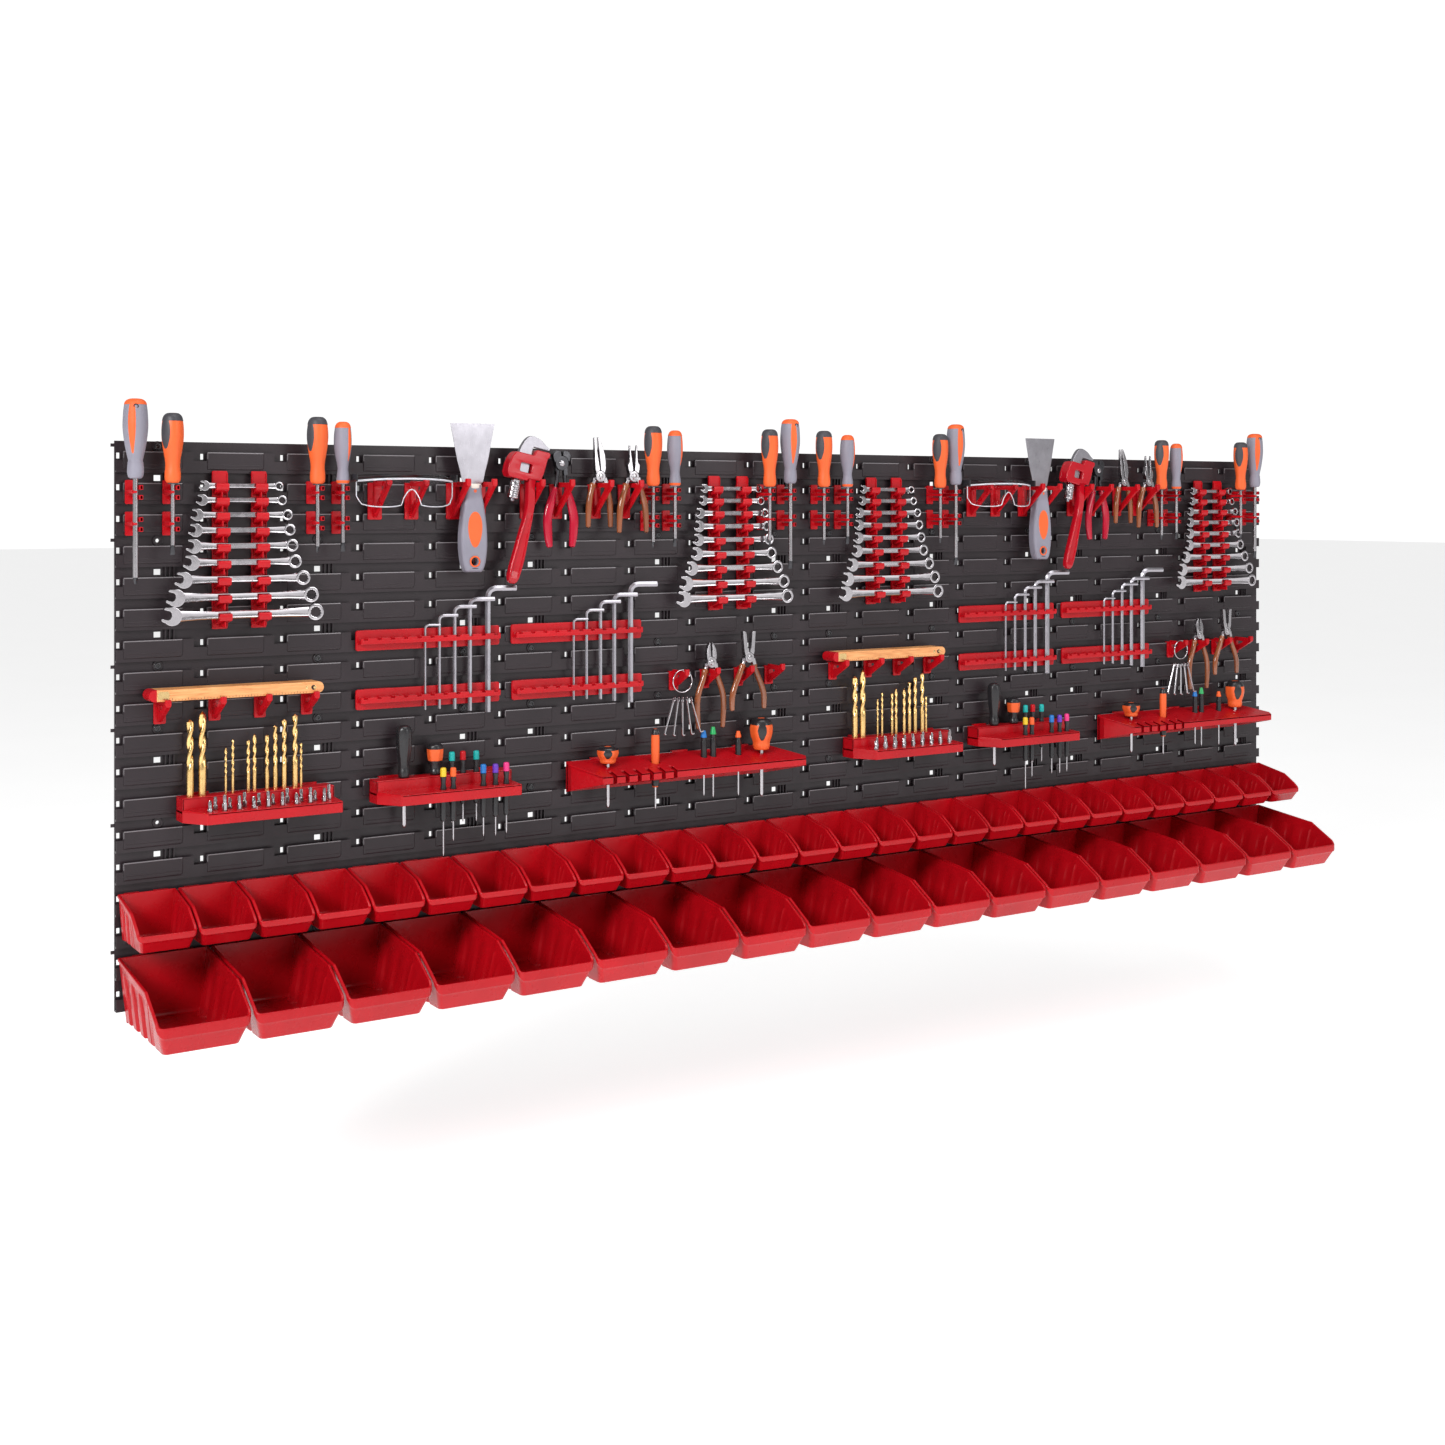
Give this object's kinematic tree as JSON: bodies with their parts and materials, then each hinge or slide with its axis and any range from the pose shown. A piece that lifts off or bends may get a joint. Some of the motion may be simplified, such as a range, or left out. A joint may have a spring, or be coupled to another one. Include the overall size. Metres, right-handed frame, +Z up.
{
  "type": "pegboard tool wall",
  "caption": "Wall of dark moulded pegboard panels with hook rails, red open-front bins, holders and shelves, stocked with hand tools.",
  "frame": {"origin": "centre of the wall's flat back plane", "axes": "+X to the right along the wall as seen from the front, -Y out of the front, +Z up"},
  "size_m": [2.309, 0.205, 0.8514],
  "materials": {
    "dark_plastic": "fine satin mould texture",
    "black_screw": "blackened",
    "red_plastic": "glossy moulded",
    "orange_grip": "soft over-moulded",
    "tool_steel": "bright",
    "chrome_steel": "polished",
    "gold_drill": "titanium coated",
    "rule_wood": "varnished",
    "black_plastic": "satin",
    "blade_steel": "ground",
    "grey_grip": "soft",
    "clear_lens": "clear",
    "plier_steel": "bright head, dipped grips",
    "red_paint": "gloss paint"
  },
  "bodies": {
    "wall": {"panel_top_1": "dark_plastic", "panel_top_2": "dark_plastic", "panel_top_3": "dark_plastic", "panel_top_4": "dark_plastic", "panel_bottom_1": "dark_plastic", "panel_bottom_2": "dark_plastic", "panel_bottom_3": "dark_plastic", "panel_bottom_4": "dark_plastic", "wall_screws": "black_screw", "screwdriver_clips": "red_plastic", "wrench_racks": "red_plastic", "tool_hooks": "red_plastic", "small_hooks": "red_plastic", "hex_key_rails": "red_plastic", "drill_shelves": "red_plastic", "driver_shelves": "red_plastic", "tool_shelves": "red_plastic", "small_bins": "red_plastic", "large_bins": "red_plastic", "screwdriver_handles": "orange_grip", "shelf_driver_handles": "orange_grip", "screwdriver_shafts": "tool_steel", "precision_driver_shafts": "tool_steel", "shelf_driver_shafts": "tool_steel", "hex_keys": "tool_steel", "screw_bits": "tool_steel", "plier_rivets": "tool_steel", "combination_wrenches": "chrome_steel", "key_rings": "chrome_steel", "drill_bits": "gold_drill", "folding_rules": "rule_wood", "precision_driver_handles": "black_plastic", "glasses_temples": "black_plastic", "scraper_blades": "blade_steel", "scraper_handles": "grey_grip", "glasses_lenses": "clear_lens", "plier_fixed_arms": "plier_steel", "pipe_wrench_handles": "red_paint"},
    "small_bin_1": {"small_bin_1": "red_plastic"},
    "small_bin_2": {"small_bin_2": "red_plastic"},
    "small_bin_3": {"small_bin_3": "red_plastic"},
    "large_bin_1": {"large_bin_1": "red_plastic"},
    "large_bin_2": {"large_bin_2": "red_plastic"},
    "large_bin_3": {"large_bin_3": "red_plastic"},
    "red_pliers_arm_left": {"red_pliers_arm_left": "plier_steel"},
    "curved_pliers_arm_left": {"curved_pliers_arm_left": "plier_steel"},
    "needle_pliers_arm_left": {"needle_pliers_arm_left": "plier_steel"},
    "cutter_arm_left": {"cutter_arm_left": "plier_steel"},
    "stripper_arm_left": {"stripper_arm_left": "plier_steel"},
    "red_pliers_arm_right": {"red_pliers_arm_right": "plier_steel"},
    "curved_pliers_arm_right": {"curved_pliers_arm_right": "plier_steel"},
    "needle_pliers_arm_right": {"needle_pliers_arm_right": "plier_steel"},
    "cutter_arm_right": {"cutter_arm_right": "plier_steel"},
    "stripper_arm_right": {"stripper_arm_right": "plier_steel"},
    "pipe_wrench_jaw_left": {"pipe_wrench_jaw_left": "tool_steel"},
    "pipe_wrench_jaw_right": {"pipe_wrench_jaw_right": "tool_steel"},
    "pipe_wrench_nut_left": {"pipe_wrench_nut_left": "tool_steel"},
    "pipe_wrench_nut_right": {"pipe_wrench_nut_right": "tool_steel"}
  },
  "joints": [
    {"name": "small_bin_lift_1", "type": "slide", "parent": "wall", "child": "small_bin_1", "axis": [0, 0, 1], "range_m": [0, 0.0105]},
    {"name": "small_bin_lift_2", "type": "slide", "parent": "wall", "child": "small_bin_2", "axis": [0, 0, 1], "range_m": [0, 0.0105]},
    {"name": "small_bin_lift_3", "type": "slide", "parent": "wall", "child": "small_bin_3", "axis": [0, 0, 1], "range_m": [0, 0.0105]},
    {"name": "large_bin_lift_1", "type": "slide", "parent": "wall", "child": "large_bin_1", "axis": [0, 0, 1], "range_m": [0, 0.0105]},
    {"name": "large_bin_lift_2", "type": "slide", "parent": "wall", "child": "large_bin_2", "axis": [0, 0, 1], "range_m": [0, 0.0105]},
    {"name": "large_bin_lift_3", "type": "slide", "parent": "wall", "child": "large_bin_3", "axis": [0, 0, 1], "range_m": [0, 0.0105]},
    {"name": "red_pliers_pivot_left", "type": "hinge", "parent": "wall", "child": "red_pliers_arm_left", "pos_m": [-0.48, -0.031, 0.367], "axis": [0, 1, 0], "range_deg": [-1, 10]},
    {"name": "curved_pliers_pivot_left", "type": "hinge", "parent": "wall", "child": "curved_pliers_arm_left", "pos_m": [-0.412, -0.032, 0.347], "axis": [0, 1, 0], "range_deg": [-4, 8]},
    {"name": "needle_pliers_pivot_left", "type": "hinge", "parent": "wall", "child": "needle_pliers_arm_left", "pos_m": [-0.358, -0.044, 0.347], "axis": [0, 1, 0], "range_deg": [-12, 8]},
    {"name": "cutter_pivot_left", "type": "hinge", "parent": "wall", "child": "cutter_arm_left", "pos_m": [-0.2045, -0.033, 0.044], "axis": [0, 1, 0], "range_deg": [-6, 8]},
    {"name": "stripper_pivot_left", "type": "hinge", "parent": "wall", "child": "stripper_arm_left", "pos_m": [-0.138, -0.0445, 0.05], "axis": [0, 1, 0], "range_deg": [-10, 8]},
    {"name": "red_pliers_pivot_right", "type": "hinge", "parent": "wall", "child": "red_pliers_arm_right", "pos_m": [0.672, -0.031, 0.367], "axis": [0, 1, 0], "range_deg": [-1, 10]},
    {"name": "curved_pliers_pivot_right", "type": "hinge", "parent": "wall", "child": "curved_pliers_arm_right", "pos_m": [0.74, -0.032, 0.347], "axis": [0, 1, 0], "range_deg": [-4, 8]},
    {"name": "needle_pliers_pivot_right", "type": "hinge", "parent": "wall", "child": "needle_pliers_arm_right", "pos_m": [0.794, -0.044, 0.347], "axis": [0, 1, 0], "range_deg": [-12, 8]},
    {"name": "cutter_pivot_right", "type": "hinge", "parent": "wall", "child": "cutter_arm_right", "pos_m": [0.9475, -0.033, 0.044], "axis": [0, 1, 0], "range_deg": [-6, 8]},
    {"name": "stripper_pivot_right", "type": "hinge", "parent": "wall", "child": "stripper_arm_right", "pos_m": [1.014, -0.0445, 0.05], "axis": [0, 1, 0], "range_deg": [-10, 8]},
    {"name": "pipe_jaw_slide_left", "type": "slide", "parent": "wall", "child": "pipe_wrench_jaw_left", "axis": [0.2079, 0, 0.9781], "range_m": [-0.0025, 0.0175]},
    {"name": "pipe_nut_spin_left", "type": "hinge", "parent": "wall", "child": "pipe_wrench_nut_left", "pos_m": [-0.56447, -0.046, 0.34431], "axis": [0.2079, 0, 0.9781], "range_deg": [-320, 2200]},
    {"name": "pipe_jaw_slide_right", "type": "slide", "parent": "wall", "child": "pipe_wrench_jaw_right", "axis": [0.2079, 0, 0.9781], "range_m": [-0.0025, 0.0175]},
    {"name": "pipe_nut_spin_right", "type": "hinge", "parent": "wall", "child": "pipe_wrench_nut_right", "pos_m": [0.58753, -0.046, 0.34431], "axis": [0.2079, 0, 0.9781], "range_deg": [-320, 2200]}
  ],
  "couplings": [
    {"joint": "pipe_nut_spin_left", "follows": "pipe_jaw_slide_left", "rad_per_m": 2094.4},
    {"joint": "pipe_nut_spin_right", "follows": "pipe_jaw_slide_right", "rad_per_m": 2094.4}
  ]
}
